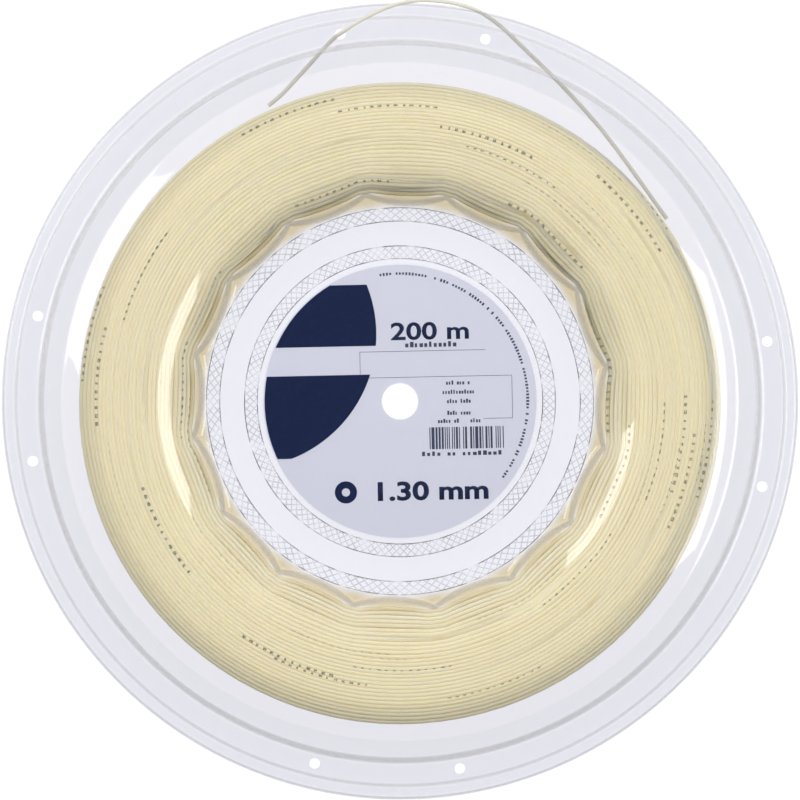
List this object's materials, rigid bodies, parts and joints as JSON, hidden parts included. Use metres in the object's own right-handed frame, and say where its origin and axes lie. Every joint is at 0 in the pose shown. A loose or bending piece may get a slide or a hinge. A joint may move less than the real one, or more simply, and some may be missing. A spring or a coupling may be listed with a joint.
{
  "type": "string reel",
  "caption": "Flat bulk reel of racket string: two clear domed shells on a fluted hub, string wound between them and its free end parked through a hole in the rim.",
  "frame": {"origin": "on the reel's axis, in the plane of the rear shell's swell, which the reel lies on", "axes": "+Z along the reel's axis towards the front face that shows the label; +Y towards the top of the label, where the string's loose end crosses the rim; +X to the right"},
  "size_m": [0.2498, 0.2516, 0.028],
  "materials": {
    "clear_plastic": "clear, thermoformed, glossy",
    "clear_plastic_rear": "clear, thermoformed, glossy",
    "paper": "coated and printed paper",
    "nylon": "translucent, pale yellow",
    "nylon_end": "translucent, pale yellow"
  },
  "bodies": {
    "root": {"front_shell": "clear_plastic", "rear_shell": "clear_plastic_rear", "label": "paper", "string_winding": "nylon", "string_tail": "nylon_end"}
  },
  "joints": []
}
